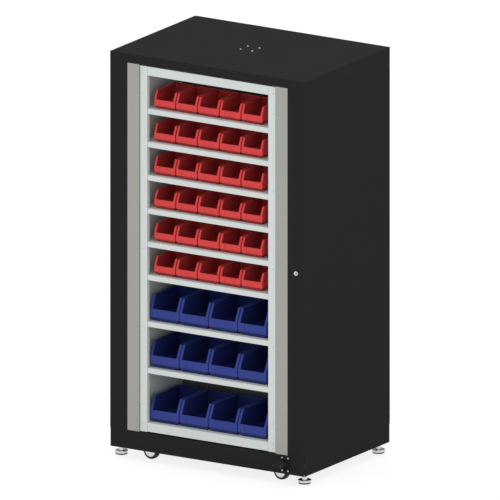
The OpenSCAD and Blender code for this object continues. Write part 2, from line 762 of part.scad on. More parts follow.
module hub(side, end) at_wheel(side, end) color(white) rotate_extrude() difference() {
    translate([axle_r + run, -wheel_w / 2]) square([hub_r - axle_r - run, wheel_w]);
    for (face = [-1, 1]) translate([axle_r + 7, face * wheel_w / 2 - 4])
        square([hub_r - axle_r - 11, 8]);
}

module tyre(side, end) at_wheel(side, end) color(rubber) rotate_extrude() polygon([
    [hub_r, -wheel_w / 2], [wheel_r - 3, -wheel_w / 2], [wheel_r, -wheel_w / 2 + 4],
    [wheel_r, wheel_w / 2 - 4], [wheel_r - 3, wheel_w / 2], [hub_r, wheel_w / 2]]);

module caster_front_left_hub() hub(-1, -1);
module caster_front_right_hub() hub(1, -1);
module caster_rear_left_hub() hub(-1, 1);
module caster_rear_right_hub() hub(1, 1);
module caster_front_left_tyre() tyre(-1, -1);
module caster_front_right_tyre() tyre(1, -1);
module caster_rear_left_tyre() tyre(-1, 1);
module caster_rear_right_tyre() tyre(1, 1);

// A levelling foot: rubber base, disc with a dished top, neck and stem, in one bonded piece
module foot(side, end) placed() color(zinc) translate([side * foot_x, end * foot_y, foot_lift]) {
    rim_z = foot_base_h + foot_rim_h;
    neck_z = caster_h - foot_nut_h - foot_rise - foot_spare - foot_lift;
    stem_z = caster_h + stem_spare - foot_lift;
    rotate_extrude() polygon([
        [0, 0], [foot_r - foot_base_in, 0], [foot_r - foot_base_in, foot_base_h],
        [foot_r, foot_base_h], [foot_r, rim_z], [foot_r - foot_rim_w, rim_z],
        [foot_neck_r, rim_z - foot_dish], [foot_neck_r, neck_z], [stem_r, neck_z],
        [stem_r, stem_z], [0, stem_z]]);
}

module foot_front_left() foot(-1, -1);
module foot_front_right() foot(1, -1);
module foot_rear_left() foot(-1, 1);
module foot_rear_right() foot(1, 1);

base_skirt();
base_deck();
base_tubes();
foot_nuts();
side_shell_left();
side_shell_right();
top_cap();
top_channel();
front_filler_strips();
rear_filler_strips();
top_pivot_flange();
top_pivot_bolts();
turntable_lower_race();
turntable_balls();
turntable_upper_race();
brake_ring();
spindle();
carousel_base();
carousel_top();
carousel_side_left();
carousel_side_right();
divider();
shelves();
post_screws();
lock_barrel();
lock_nut();
lock_plug();
lock_cam();
pedal_plate();
pedal_bolts();
pedal_bracket();
pedal_pin();
pedal_lever();
pedal_pad();
brake_plunger();
brake_spring();
caster_brackets();
caster_front_left_fork();
caster_front_right_fork();
caster_front_left_hub();
caster_front_right_hub();
caster_rear_left_hub();
caster_rear_right_hub();
caster_front_left_tyre();
caster_front_right_tyre();
caster_rear_left_tyre();
caster_rear_right_tyre();
foot_front_left();
foot_front_right();
foot_rear_left();
foot_rear_right();
for (row = [1 : large_rows])
    large_bins_row(row);
for (row = [1 : small_rows])
    small_bins_row(row);
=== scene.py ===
import json
from math import cos, radians, sin, tau

import bmesh
import bpy
from mathutils import Matrix, Vector


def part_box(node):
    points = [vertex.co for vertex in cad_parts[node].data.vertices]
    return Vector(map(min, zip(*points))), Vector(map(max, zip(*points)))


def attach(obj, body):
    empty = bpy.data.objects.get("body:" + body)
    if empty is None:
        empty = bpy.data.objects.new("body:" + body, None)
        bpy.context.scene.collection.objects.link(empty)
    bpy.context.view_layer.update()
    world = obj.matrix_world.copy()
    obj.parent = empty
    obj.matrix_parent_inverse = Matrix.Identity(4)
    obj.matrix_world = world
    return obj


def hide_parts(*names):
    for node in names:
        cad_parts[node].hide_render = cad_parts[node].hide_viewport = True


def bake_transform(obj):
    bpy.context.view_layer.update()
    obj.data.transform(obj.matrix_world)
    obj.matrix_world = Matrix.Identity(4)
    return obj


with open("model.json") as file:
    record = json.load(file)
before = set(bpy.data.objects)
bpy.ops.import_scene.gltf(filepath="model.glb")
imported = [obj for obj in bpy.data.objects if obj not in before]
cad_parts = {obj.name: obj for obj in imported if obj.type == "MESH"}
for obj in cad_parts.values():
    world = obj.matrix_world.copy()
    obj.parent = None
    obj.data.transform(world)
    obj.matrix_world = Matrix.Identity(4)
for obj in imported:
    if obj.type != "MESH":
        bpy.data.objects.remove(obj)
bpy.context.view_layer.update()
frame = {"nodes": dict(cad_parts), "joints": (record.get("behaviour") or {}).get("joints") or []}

MM = 0.001


# ---------------------------------------------------------------- plinth
# The plinth is one band of steel sheet folded round the foot of the case, with its ends meeting at
# the front right corner.  The deck closes it from above, and two box tubes under the deck carry the
# casters and the feet.  All of it is sprayed with black powder and baked.

WELD = 0.01 * MM  # vertices closer than this are one
FLAT = radians(0.2)  # triangles that bend less than this are one flat
CORNER = radians(32)  # flats that bend more than this meet in a corner
SHEET_EDGE = 0.5 * MM


def joined_copy(node):
    """A CAD piece's triangles, joined into whole flats."""
    made = bmesh.new()
    made.from_mesh(frame["nodes"][node].data)
    bmesh.ops.remove_doubles(made, verts=made.verts, dist=WELD)
    bmesh.ops.dissolve_limit(made, angle_limit=FLAT, verts=made.verts, edges=made.edges)
    return made


def piece_from(made, name, *finishes):
    """A new piece with that bmesh as its mesh, smooth except at its corners."""
    data = bpy.data.meshes.new(name)
    made.to_mesh(data)
    made.free()
    for finish in finishes:
        data.materials.append(finish)
    data.shade_smooth()
    data.set_sharp_from_angle(angle=CORNER)
    piece = bpy.data.objects.new(name, data)
    bpy.context.scene.collection.objects.link(piece)
    return piece


def made_plain(piece):
    """The piece with its modifiers' result as its own mesh."""
    bpy.context.view_layer.update()
    depsgraph = bpy.context.evaluated_depsgraph_get()
    result = bpy.data.meshes.new_from_object(piece.evaluated_get(depsgraph), depsgraph=depsgraph)
    piece.modifiers.clear()
    piece.data = result
    return piece


def with_round_edges(piece, radius, rounds=2):
    """Every corner of the piece rounded, its flats kept flat.  The rounding takes the last finish."""
    piece.data.shade_smooth()
    edges = piece.modifiers.new("edges", "BEVEL")
    edges.width = radius
    edges.segments = rounds
    edges.limit_method = "ANGLE"
    edges.angle_limit = CORNER
    edges.harden_normals = True
    edges.material = len(piece.data.materials) - 1
    return made_plain(piece)


def placed(piece, slot, body, *nodes):
    """The piece rides on its body, in place of its CAD nodes."""
    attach(piece, body)
    if nodes:
        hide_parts(*nodes)
    return piece


def linked(tree, kind, inputs=None, **settings):
    """One node of a tree, with its settings, its values and the sockets that feed it."""
    node = tree.nodes.new(kind)
    for name, value in settings.items():
        setattr(node, name, value)
    for name, value in (inputs or {}).items():
        if isinstance(value, bpy.types.NodeSocket):
            tree.links.new(value, node.inputs[name])
        else:
            node.inputs[name].default_value = value
    return node


def combined(tree, operation, first, second):
    """Two values of a tree put together by that operation."""
    return linked(tree, "ShaderNodeMath", {0: first, 1: second}, operation=operation).outputs[0]


def spread(tree, pattern, low, high):
    """The middle of a noise pattern spread from low to high."""
    return linked(tree, "ShaderNodeMapRange", {"Value": pattern, "From Min": 0.3, "From Max": 0.7,
                                               "To Min": low, "To Max": high}).outputs[0]


def blank_finish(name, metallic=0.0, shine=0.5):
    """A new finish, its node tree, its surface and the place that its patterns are laid by."""
    finish = bpy.data.materials.new(name)
    finish.use_nodes = True
    tree = finish.node_tree
    surface = tree.nodes["Principled BSDF"]
    surface.inputs["Metallic"].default_value = metallic
    surface.inputs["Specular IOR Level"].default_value = shine
    return finish, tree, surface, linked(tree, "ShaderNodeTexCoord").outputs["Object"]


def noise(tree, place, scale, detail=3.0, distortion=0.0):
    """A cloudy pattern, finer with a larger scale."""
    return linked(tree, "ShaderNodeTexNoise", {"Vector": place, "Scale": scale, "Detail": detail,
                                               "Distortion": distortion}).outputs[0]


def tinted(tree, surface, colour, shade):
    """The surface's colour, made lighter and darker by shade."""
    mixed = linked(tree, "ShaderNodeVectorMath", {0: colour, "Scale": shade}, operation="SCALE")
    tree.links.new(mixed.outputs[0], surface.inputs["Base Color"])


def bumped(tree, surface, height, depth, strength):
    """The surface made to look raised by that depth where the height pattern is high."""
    bump = linked(tree, "ShaderNodeBump", {"Strength": strength, "Distance": depth, "Height": height})
    tree.links.new(bump.outputs[0], surface.inputs["Normal"])


def powder_coat(name, colour, gloss, shine):
    """Baked powder paint: an orange-peel surface, faintly cloudy in its gloss."""
    paint, tree, surface, place = blank_finish(name, shine=shine)
    cloud = noise(tree, place, 5.0, 4.0)
    grain = noise(tree, place, 900.0, 2.0)
    tint = combined(tree, "MULTIPLY", spread(tree, grain, 0.96, 1.04), spread(tree, cloud, 0.99, 1.01))
    tinted(tree, surface, colour, tint)
    tree.links.new(spread(tree, cloud, gloss - 0.02, gloss + 0.02), surface.inputs["Roughness"])
    bumped(tree, surface, grain, 0.05 * MM, 0.25)
    return paint


def rubbed_coat(name, colour, rubbed, gloss, shine):
    """The same paint along its folds and cut edges, where it is thinner, rubbed smooth and chipped."""
    paint, tree, surface, place = blank_finish(name, shine=shine)
    patch = noise(tree, place, 40.0, 5.0)
    chip = linked(tree, "ShaderNodeMapRange", {"Value": noise(tree, place, 260.0, 4.0), "From Min": 0.66,
                                               "From Max": 0.70})
    worn = combined(tree, "MAXIMUM", spread(tree, patch, 0.0, 0.55), chip.outputs[0])
    mixed = linked(tree, "ShaderNodeMixRGB", {"Fac": worn, "Color1": (*colour, 1), "Color2": (*rubbed, 1)})
    tree.links.new(mixed.outputs[0], surface.inputs["Base Color"])
    tree.links.new(spread(tree, patch, gloss, gloss - 0.15), surface.inputs["Roughness"])
    bumped(tree, surface, chip.outputs[0], -0.06 * MM, 0.3)
    return paint


BLACK = (0.02, 0.02, 0.02)
black_coat = powder_coat("black_powder_coat", BLACK, gloss=0.8, shine=0.028)
black_edge = rubbed_coat("rubbed_black_edge", BLACK, (0.05, 0.05, 0.052), gloss=0.65, shine=0.06)
for node in ("base_skirt", "base_deck", "base_tubes"):
    folded = piece_from(joined_copy(node), node + "_folded", black_coat, black_edge)
    placed(with_round_edges(folded, SHEET_EDGE), "case_black", "case", node)


# ---------------------------------------------------------------- casters
# Pressed steel plates and forks, zinc plated and welded under the tubes.  The front ones swivel on
# kingpins and the rear ones are rigid.  Each wheel is pale nylon, with a black rubber tyre moulded on
# and a bright steel cover pressed on each side, and turns on a bolt through the fork.

def metal(name, colour, rough, smear=0.05, depth=0.01 * MM):
    """Bare or plated metal: a fine grain, with its gloss dulled in patches by handling."""
    finish, tree, surface, place = blank_finish(name, metallic=1.0)
    patch = noise(tree, place, 35.0, 5.0, 0.6)
    grain = noise(tree, place, 1200.0, 2.0)
    tinted(tree, surface, colour, spread(tree, patch, 0.93, 1.05))
    tree.links.new(spread(tree, patch, rough - smear, rough + smear), surface.inputs["Roughness"])
    bumped(tree, surface, grain, depth, 0.3)
    return finish


def rubber(name, colour, rough):
    """Moulded rubber: dull, greyed where it is scuffed, with a fine skin."""
    finish, tree, surface, place = blank_finish(name, shine=0.25)
    scuff = noise(tree, place, 90.0, 5.0, 1.0)
    tinted(tree, surface, colour, spread(tree, scuff, 0.8, 1.3))
    tree.links.new(spread(tree, scuff, rough - 0.08, rough + 0.08), surface.inputs["Roughness"])
    bumped(tree, surface, noise(tree, place, 1400.0, 3.0), 0.06 * MM, 0.35)
    return finish


def moulded_plastic(name, colour, gloss=0.5, shine=0.2):
    """Moulded plastic: a fine spark-eroded skin with faint flow marks, darkened by painted shade on the
    faces that carry it.
    """
    plastic, tree, surface, place = blank_finish(name, shine=shine)
    flow = noise(tree, place, 25.0, 3.0, 1.5)
    # Painted shade: a face attribute darkens the colour inside the bins and under their cut-back edges.
    painted_shade = linked(tree, "ShaderNodeAttribute", attribute_name="painted_shade").outputs["Fac"]
    unshaded = combined(tree, "SUBTRACT", 1.0, painted_shade)
    tinted(tree, surface, colour, combined(tree, "MULTIPLY", spread(tree, flow, 0.95, 1.05), unshaded))
    tree.links.new(spread(tree, flow, gloss - 0.06, gloss + 0.06), surface.inputs["Roughness"])
    bumped(tree, surface, noise(tree, place, 1800.0, 2.0), 0.03 * MM, 0.2)
    return plastic


def turned(profile, name, *finishes, steps=48):
    """A closed piece turned about Z through [radius, height] points in millimetres.  A point's third
    number, if it has one, is how many flats the piece has there."""
    made = bmesh.new()
    rings = []
    for radius, height, *flats in profile:
        ring = []
        for i in range(steps):
            turn = tau * i / steps
            reach = radius
            if flats:
                side = tau / flats[0]
                reach *= cos(side / 2) / cos(turn % side - side / 2)
            if radius or not ring:
                ring.append(made.verts.new((reach * cos(turn) * MM, reach * sin(turn) * MM, height * MM)))
            else:
                ring.append(ring[0])
        rings.append(ring)
    if profile[0][0]:
        rings.append(rings[0])
    for low, high in zip(rings, rings[1:]):
        for i in range(steps):
            corners = list(dict.fromkeys((low[i - 1], low[i], high[i], high[i - 1])))
            if len(corners) > 2:
                made.faces.new(corners)
    bmesh.ops.recalc_face_normals(made, faces=made.faces)
    return piece_from(made, name, *finishes)


def moved(piece, place):
    """The piece with its mesh moved by that matrix, and its object left at the origin."""
    piece.data.transform(place)
    return piece


PRESSED_EDGE = 0.7 * MM
zinc = metal("bright_zinc", (0.60, 0.61, 0.62), 0.34, smear=0.08)
for node, body in (("caster_brackets", "case"), ("caster_front_left_fork", "caster_front_left"),
                   ("caster_front_right_fork", "caster_front_right"), ("foot_nuts", "case")):
    pressed = piece_from(joined_copy(node), node + "_pressed", zinc)
    placed(with_round_edges(pressed, PRESSED_EDGE), "zinc", body, node)

tyre_rubber = rubber("black_tyre", (0.030, 0.032, 0.031), 0.62)
nylon = moulded_plastic("pale_nylon", (0.78, 0.79, 0.77), gloss=0.4)
bright_cover = metal("bright_steel_cover", (0.70, 0.71, 0.71), 0.26, smear=0.05)
joints = {joint["name"]: joint for joint in frame["joints"]}
TREAD, SEAT, HALF, CROWN = 40.0, 29.2, 12.5, 2.2
WHEEL_STEPS = 72
for corner in ("front_left", "front_right", "rear_left", "rear_right"):
    wheel = "caster_" + corner
    axle = joints[wheel + "_roll"]
    centre, axis = Vector(axle["pos_m"]), Vector(axle["axis"])
    place = Matrix.Translation(centre) @ axis.to_track_quat("Z", "Y").to_matrix().to_4x4()
    tread = [(TREAD - CROWN * abs(k / 10) ** 3, HALF * k / 10) for k in range(-9, 10)]
    side = [(SEAT, HALF - 0.6), (SEAT + 0.6, HALF), (TREAD - 3.6, HALF), (TREAD - 2.6, HALF - 0.25)]
    tyre = turned([(r, -z) for r, z in side] + tread + side[::-1], wheel + "_tyre_moulded", tyre_rubber,
                  steps=WHEEL_STEPS)
    placed(moved(tyre, place), "tyre_rubber", wheel + "_wheel", wheel + "_tyre")
    face = [(7.2, HALF), (9.4, HALF - 0.3), (10.6, HALF - 1.6), (14.0, HALF - 2.2), (23.0, HALF - 2.2),
            (25.2, HALF - 1.4), (26.4, HALF - 0.3), (27.2, HALF), (SEAT, HALF)]
    hub = turned([(3.1, -HALF - 0.3), (6.4, -HALF - 0.3)] + [(r, -z) for r, z in face] + face[::-1]
                 + [(6.4, HALF + 0.3), (3.1, HALF + 0.3)], wheel + "_hub_moulded", nylon, steps=WHEEL_STEPS)
    placed(moved(hub, place), "wheel_plastic", wheel + "_wheel", wheel + "_hub")
    cover = [(7.0, HALF - 2.3), (7.0, HALF + 0.2), (8.2, HALF + 0.5), (25.6, HALF + 0.5),
             (27.2, HALF + 0.2), (27.6, HALF - 0.3), (27.2, HALF - 0.3), (25.6, HALF + 0.1),
             (8.4, HALF + 0.1), (7.4, HALF - 0.4), (7.4, HALF - 2.3)]
    for where, sign in (("outer", 1), ("inner", -1)):
        disc = turned([(r, sign * z) for r, z in cover], wheel + "_cover_" + where, bright_cover,
                      steps=WHEEL_STEPS)
        placed(moved(disc, place), "zinc", wheel + "_wheel")


# ---------------------------------------------------------------- levelling feet
# Each foot is a steel cup on a rubber base, polished and chromed on its rim and neck and left duller
# in its dished top, whose much darker colour is a painted dark reflection of the cabinet's underside.
# Its neck carries a threaded stem that screws up through a nut welded under the tube, to level the
# cabinet and lift it off its casters.

chrome = metal("polished_chrome", (0.63, 0.64, 0.65), 0.16, smear=0.05, depth=0.002 * MM)
# The dish's darker colour is a painted reflection of the dark underside above it; its higher roughness is a
# duller finish.
dull_and_shaded_dish = metal("dull_dish_chrome", (0.14, 0.143, 0.146), 0.33, smear=0.05)
foot_rubber = rubber("foot_rubber", (0.013, 0.013, 0.013), 0.75)


def threaded(radius, pitch, low, high, name, finish, around=24, levels=6):
    """A rod with a screw thread cut on it, from low to high in millimetres."""
    made = bmesh.new()
    rows = int((high - low) / pitch * levels) + 1
    cut = 0.55 * pitch
    steepness = 2.4
    rings = []
    for k in range(rows):
        height = low + k * pitch / levels
        ring = []
        for i in range(around):
            turn = tau * i / around
            phase = (height / pitch - i / around) % 1.0
            depth = 0.0 if k in (0, rows - 1) else cut * min(1.0, steepness * min(phase, 1.0 - phase))
            reach = (radius - (cut if k in (0, rows - 1) else depth)) * MM
            ring.append(made.verts.new((reach * cos(turn), reach * sin(turn), height * MM)))
        rings.append(ring)
    for low_ring, high_ring in zip(rings, rings[1:]):
        for i in range(around):
            made.faces.new((low_ring[i - 1], low_ring[i], high_ring[i], high_ring[i - 1]))
    made.faces.new(rings[0][::-1])
    made.faces.new(rings[-1])
    bmesh.ops.recalc_face_normals(made, faces=made.faces)
    return piece_from(made, name, finish)


FOOT_STEPS = 64
DISH_IN, DISH_OUT, DISH_FLOOR = 12.5 * MM, 27.0 * MM, 15 * MM
for corner in ("front_left", "front_right", "rear_left", "rear_right"):
    node = "foot_" + corner
    low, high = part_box(node)
    place = Matrix.Translation(((low.x + high.x) / 2, (low.y + high.y) / 2, low.z))
    top = (high.z - low.z) / MM
    base = turned([(0, 0), (25.8, 0), (27.0, 0.5), (27.5, 1.5), (27.5, 5.4), (27, 6.1), (0, 6.1)],
                  node + "_base", foot_rubber, steps=FOOT_STEPS)
    placed(moved(base, place), "pedal_rubber", node)
    cup = turned([(0, 6), (27.8, 6), (28.6, 6.3), (29, 7.1), (29, 15.8), (28.7, 16.5), (28.1, 16.8),
                  (27.3, 16.8), (26.5, 16.4), (25.2, 15.9), (20, 15.5), (14.4, 15.3), (13, 15.5),
                  (12.2, 16.2), (12, 17.2), (12, 58.6), (11.4, 59.8), (10.4, 60), (0, 60)],
                 node + "_cup", chrome, dull_and_shaded_dish, steps=FOOT_STEPS)
    # The dished top takes the darker chrome: a painted dark reflection.
    for face in cup.data.polygons:
        if DISH_IN < face.center.xy.length < DISH_OUT and face.center.z > DISH_FLOOR:
            face.material_index = 1
    placed(moved(cup, place), "chrome", node, node)
    stem = threaded(radius=8.0, pitch=2.0, low=59.5, high=top, name=node + "_stem", finish=zinc)
    placed(moved(stem, place), "zinc", node)


# ---------------------------------------------------------------- case
# Each side is one sheet, folded round a stile at the front and at the back.  A folded cap closes
# the top, with a channel welded across under it, and pale strips stand between the stiles and the
# carousel, front and back.

for node in ("side_shell_left", "side_shell_right", "top_cap", "top_channel"):
    folded = piece_from(joined_copy(node), node + "_folded", black_coat, black_edge)
    placed(with_round_edges(folded, SHEET_EDGE), "case_black", "case", node)

STRIP = (0.35, 0.35, 0.327)
strip_coat = powder_coat("grey_powder_coat", STRIP, gloss=0.55, shine=0.3)
strip_edge = rubbed_coat("rubbed_grey_edge", STRIP, (0.41, 0.41, 0.39), gloss=0.5, shine=0.3)
for node in ("front_filler_strips", "rear_filler_strips"):
    folded = piece_from(joined_copy(node), node + "_folded", strip_coat, strip_edge)
    placed(with_round_edges(folded, SHEET_EDGE), "strip_grey", "case", node)


# ---------------------------------------------------------------- top pivot
# A steel flange under the top, held by four zinc-plated screws with socket heads, takes the
# spindle at the top of the carousel.

def islands(made):
    """The separate solids of a bmesh, each as its list of vertices, in the order of the mesh."""
    left = set(made.verts)
    found = []
    for start in made.verts:
        if start not in left:
            continue
        left.remove(start)
        front = [start]
        solid = [start]
        while front:
            for edge in front.pop().link_edges:
                for vert in edge.verts:
                    if vert in left:
                        left.remove(vert)
                        front.append(vert)
                        solid.append(vert)
        found.append(solid)
    return found


def corners_of(verts):
    """The lowest and the highest corner of some vertices."""
    return (Vector([min(v.co[i] for v in verts) for i in range(3)]),
            Vector([max(v.co[i] for v in verts) for i in range(3)]))


def copy_setter():
    """A node tree that sets copies of one model on points, each turned to its point's facing."""
    tree = bpy.data.node_groups.new("set_copies", "GeometryNodeTree")
    sockets = tree.interface
    sockets.new_socket("Geometry", in_out="INPUT", socket_type="NodeSocketGeometry")
    sockets.new_socket("Model", in_out="INPUT", socket_type="NodeSocketObject")
    sockets.new_socket("Finish", in_out="INPUT", socket_type="NodeSocketMaterial")
    sockets.new_socket("Geometry", in_out="OUTPUT", socket_type="NodeSocketGeometry")
    given = tree.nodes.new("NodeGroupInput").outputs
    facing = linked(tree, "GeometryNodeInputNamedAttribute", {"Name": "facing"}, data_type="FLOAT_VECTOR")
    turn = linked(tree, "FunctionNodeAlignRotationToVector", {"Vector": facing.outputs[0]}, axis="Z")
    model = linked(tree, "GeometryNodeObjectInfo", {"Object": given["Model"]})
    copies = linked(tree, "GeometryNodeInstanceOnPoints", {"Points": given["Geometry"],
                                                           "Rotation": turn.outputs[0],
                                                           "Instance": model.outputs["Geometry"]})
    real = linked(tree, "GeometryNodeRealizeInstances", {"Geometry": copies.outputs[0]})
    finished = linked(tree, "GeometryNodeSetMaterial", {"Geometry": real.outputs[0],
                                                        "Material": given["Finish"]})
    tree.links.new(finished.outputs[0], tree.nodes.new("NodeGroupOutput").inputs["Geometry"])
    return tree


def with_inputs(piece, tree, **values):
    """The piece run through the node tree with these inputs, as a plain mesh."""
    modifier = piece.modifiers.new("made", "NODES")
    modifier.node_group = tree
    for socket in tree.interface.items_tree:
        if socket.in_out == "INPUT" and socket.name in values:
            modifier[socket.identifier] = values[socket.name]
    return made_plain(piece)


def set_at(name, model, finish, places):
    """Copies of the model at [point, facing] places, as one piece.  The model itself goes."""
    data = bpy.data.meshes.new(name)
    data.from_pydata([tuple(point) for point, _ in places], [], [])
    facing = data.attributes.new("facing", "FLOAT_VECTOR", "POINT")
    for spot, (_, direction) in zip(facing.data, places):
        spot.vector = direction
    piece = bpy.data.objects.new(name, data)
    bpy.context.scene.collection.objects.link(piece)
    with_inputs(piece, copy_tree, Model=model, Finish=finish)
    bpy.data.objects.remove(model)
    return piece


def socket_screw(head, height, key, name):
    """A button-head screw with a hexagon socket, its seat at the origin."""
    return turned([(0, -1.5), (head * 0.55, -1.5), (head * 0.55, 0), (head, 0), (head, height * 0.2),
                   (head * 0.93, height * 0.5), (head * 0.74, height * 0.82), (head * 0.5, height * 0.97),
                   (key + 0.25, height), (key, height - 0.25, 6), (key, height * 0.35, 6),
                   (0, height * 0.2)], name, steps=24)


TURNED_EDGE = 0.6 * MM
copy_tree = copy_setter()
steel = metal("plain_steel", (0.50, 0.50, 0.52), 0.36, smear=0.07)
flange = piece_from(joined_copy("top_pivot_flange"), "top_pivot_flange_turned", steel)
placed(with_round_edges(flange, TURNED_EDGE), "bearing_steel", "case", "top_pivot_flange")

bolts = joined_copy("top_pivot_bolts")
heads = []
top_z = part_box("top_cap")[1].z
for solid in islands(bolts):
    low, high = corners_of(solid)
    heads.append((Vector(((low.x + high.x) / 2, (low.y + high.y) / 2, top_z)), (0, 0, 1)))
bolts.free()
screw = socket_screw(head=4.0, height=3.4, key=1.5, name="screw")
screws = set_at("top_pivot_screws", screw, zinc, heads)
placed(screws, "zinc", "case", "top_pivot_bolts")


# ---------------------------------------------------------------- turntable bearing
# The carousel stands on a ball bearing a third of a metre across: a lower race bolted to the deck,
# 36 balls, and an upper race under the bottom pan.  Outside it is the flat ring for the brake.  The
# races and the ring are turned from steel.

RACE_EDGE = 0.4 * MM
BALL_R = 5 * MM
cad_axis_y = joints["carousel_turn"]["pos_m"][1]


def turned_steel(name):
    """Steel with the fine rings of the lathe round the carousel's axis."""
    finish, tree, surface, place = blank_finish(name, metallic=1.0)
    about = linked(tree, "ShaderNodeMapping", {"Vector": place, "Location": (0, -cad_axis_y, 0)})
    rings = linked(tree, "ShaderNodeTexWave", {"Vector": about.outputs[0], "Scale": 420.0,
                                               "Distortion": 0.6, "Detail": 2.0},
                   wave_type="RINGS", rings_direction="Z")
    patch = noise(tree, place, 30.0, 4.0)
    tinted(tree, surface, (0.50, 0.50, 0.52), spread(tree, patch, 0.92, 1.06))
    tree.links.new(spread(tree, patch, 0.24, 0.38), surface.inputs["Roughness"])
    bumped(tree, surface, rings.outputs["Fac"], 0.01 * MM, 0.3)
    return finish


lathe_steel = turned_steel("turned_steel")
for node, body in (("turntable_lower_race", "case"), ("turntable_upper_race", "carousel"),
                   ("brake_ring", "carousel")):
    race = piece_from(joined_copy(node), node + "_turned", lathe_steel)
    placed(with_round_edges(race, RACE_EDGE), "bearing_steel", body, node)

balls = joined_copy("turntable_balls")
spots = []
for solid in islands(balls):
    low, high = corners_of(solid)
    spots.append(((low + high) / 2, (0, 0, 1)))
balls.free()
ball = bmesh.new()
bmesh.ops.create_icosphere(ball, subdivisions=3, radius=BALL_R)
ball_steel = metal("ball_steel", (0.62, 0.62, 0.63), 0.12, smear=0.03, depth=0.001 * MM)
placed(set_at("bearing_balls", piece_from(ball, "ball"), ball_steel, spots), "bearing_steel", "case",
       "turntable_balls")


# ---------------------------------------------------------------- carousel
# Two pans and two sides with folded posts make a square box that is open at the front and back,
# powder coated nearly white.  A divider halves it, and folded shelves lie back to back on it; the
# divider's dark grey is painted shade for the deep backs of the bays.  A flanged spindle on the top
# pan turns in the pivot.

SPINDLE_EDGE = 0.8 * MM
WHITE = (0.63, 0.67, 0.65)
white_coat = powder_coat("white_powder_coat", WHITE, gloss=0.55, shine=0.3)
white_edge = rubbed_coat("rubbed_white_edge", WHITE, (0.70, 0.73, 0.72), gloss=0.5, shine=0.3)
for node in ("carousel_base", "carousel_top", "carousel_side_left", "carousel_side_right", "shelves"):
    folded = piece_from(joined_copy(node), node + "_folded", white_coat, white_edge)
    placed(with_round_edges(folded, SHEET_EDGE), "carousel_white", "carousel", node)

# The divider's dark grey is painted shade: it darkens the back of each bay.
DIVIDER_SHADE_GREY = (0.13, 0.13, 0.13)
grey_coat = powder_coat("dark_grey_powder_coat", DIVIDER_SHADE_GREY, gloss=0.7, shine=0.2)
grey_edge = rubbed_coat("rubbed_dark_grey_edge", DIVIDER_SHADE_GREY, (0.2, 0.2, 0.2), gloss=0.6, shine=0.2)
sheet = piece_from(joined_copy("divider"), "divider_sheet", grey_coat, grey_edge)
placed(with_round_edges(sheet, SHEET_EDGE), "case_black", "carousel", "divider")
spindle = piece_from(joined_copy("spindle"), "spindle_turned", lathe_steel)
placed(with_round_edges(spindle, SPINDLE_EDGE), "bearing_steel", "carousel", "spindle")


# ---------------------------------------------------------------- post screws
# Small plain steel screws with button heads and hexagon sockets, screwed into the face of every
# post: five evenly spaced up its height, and a pair at each rail.

screws = joined_copy("post_screws")
heads = []
for solid in islands(screws):
    low, high = corners_of(solid)
    front = high.y < cad_axis_y
    heads.append((Vector(((low.x + high.x) / 2, high.y if front else low.y, (low.z + high.z) / 2)),
                  (0, -1 if front else 1, 0)))
screws.free()
screw = socket_screw(head=3.0, height=1.2, key=1.1, name="screw")
placed(set_at("post_screw_heads", screw, steel, heads), "bearing_steel", "carousel", "post_screws")


# ---------------------------------------------------------------- bins
# The bins are moulded polypropylene, open at the front above a lip, with a thick rim and cut-back
# lower edges, so that they stack and can be carried.  Blue ones are large and red ones small.

BIN_FLOOR = 5 * MM


def row_maker():
    """A node tree that stands copies of one model in a row, as many and as far apart as asked."""
    tree = bpy.data.node_groups.new("row", "GeometryNodeTree")
    sockets = tree.interface
    sockets.new_socket("Start", in_out="INPUT", socket_type="NodeSocketVector")
    sockets.new_socket("Step", in_out="INPUT", socket_type="NodeSocketVector")
    sockets.new_socket("Count", in_out="INPUT", socket_type="NodeSocketInt")
    sockets.new_socket("Model", in_out="INPUT", socket_type="NodeSocketObject")
    sockets.new_socket("Finish", in_out="INPUT", socket_type="NodeSocketMaterial")
    sockets.new_socket("Geometry", in_out="OUTPUT", socket_type="NodeSocketGeometry")
    given = tree.nodes.new("NodeGroupInput").outputs
    places = linked(tree, "GeometryNodeMeshLine", {"Count": given["Count"], "Offset": given["Step"],
                                                   "Start Location": given["Start"]})
    model = linked(tree, "GeometryNodeObjectInfo", {"Object": given["Model"]})
    copies = linked(tree, "GeometryNodeInstanceOnPoints", {"Points": places.outputs[0],
                                                           "Instance": model.outputs["Geometry"]})
    real = linked(tree, "GeometryNodeRealizeInstances", {"Geometry": copies.outputs[0]})
    finished = linked(tree, "GeometryNodeSetMaterial", {"Geometry": real.outputs[0],
                                                        "Material": given["Finish"]})
    tree.links.new(finished.outputs[0], tree.nodes.new("NodeGroupOutput").inputs["Geometry"])
    return tree


def row_of(name, model, finish, start, step, count):
    """A row of copies of the model, as one piece."""
    row = bpy.data.objects.new(name, bpy.data.meshes.new(name))
    bpy.context.scene.collection.objects.link(row)
    return with_inputs(row, row_tree, Start=start, Step=step, Count=count, Model=model, Finish=finish)


def paint_bin_shade(made, centre, floor, inside, under):
    """How much painted shade each face of a bin carries: inside, where shade falls in the bin, and on its
    cut-back underside.
    """
    made.normal_update()
    painted_shade = made.faces.layers.float.new("painted_shade")
    for face in made.faces:
        middle = face.calc_center_median()
        rim = face.normal.z > 0.5 and middle.z > floor
        if face.normal.dot(centre - middle) > 0 and not rim:
            face[painted_shade] = inside
        elif face.normal.z < -0.2:
            face[painted_shade] = under


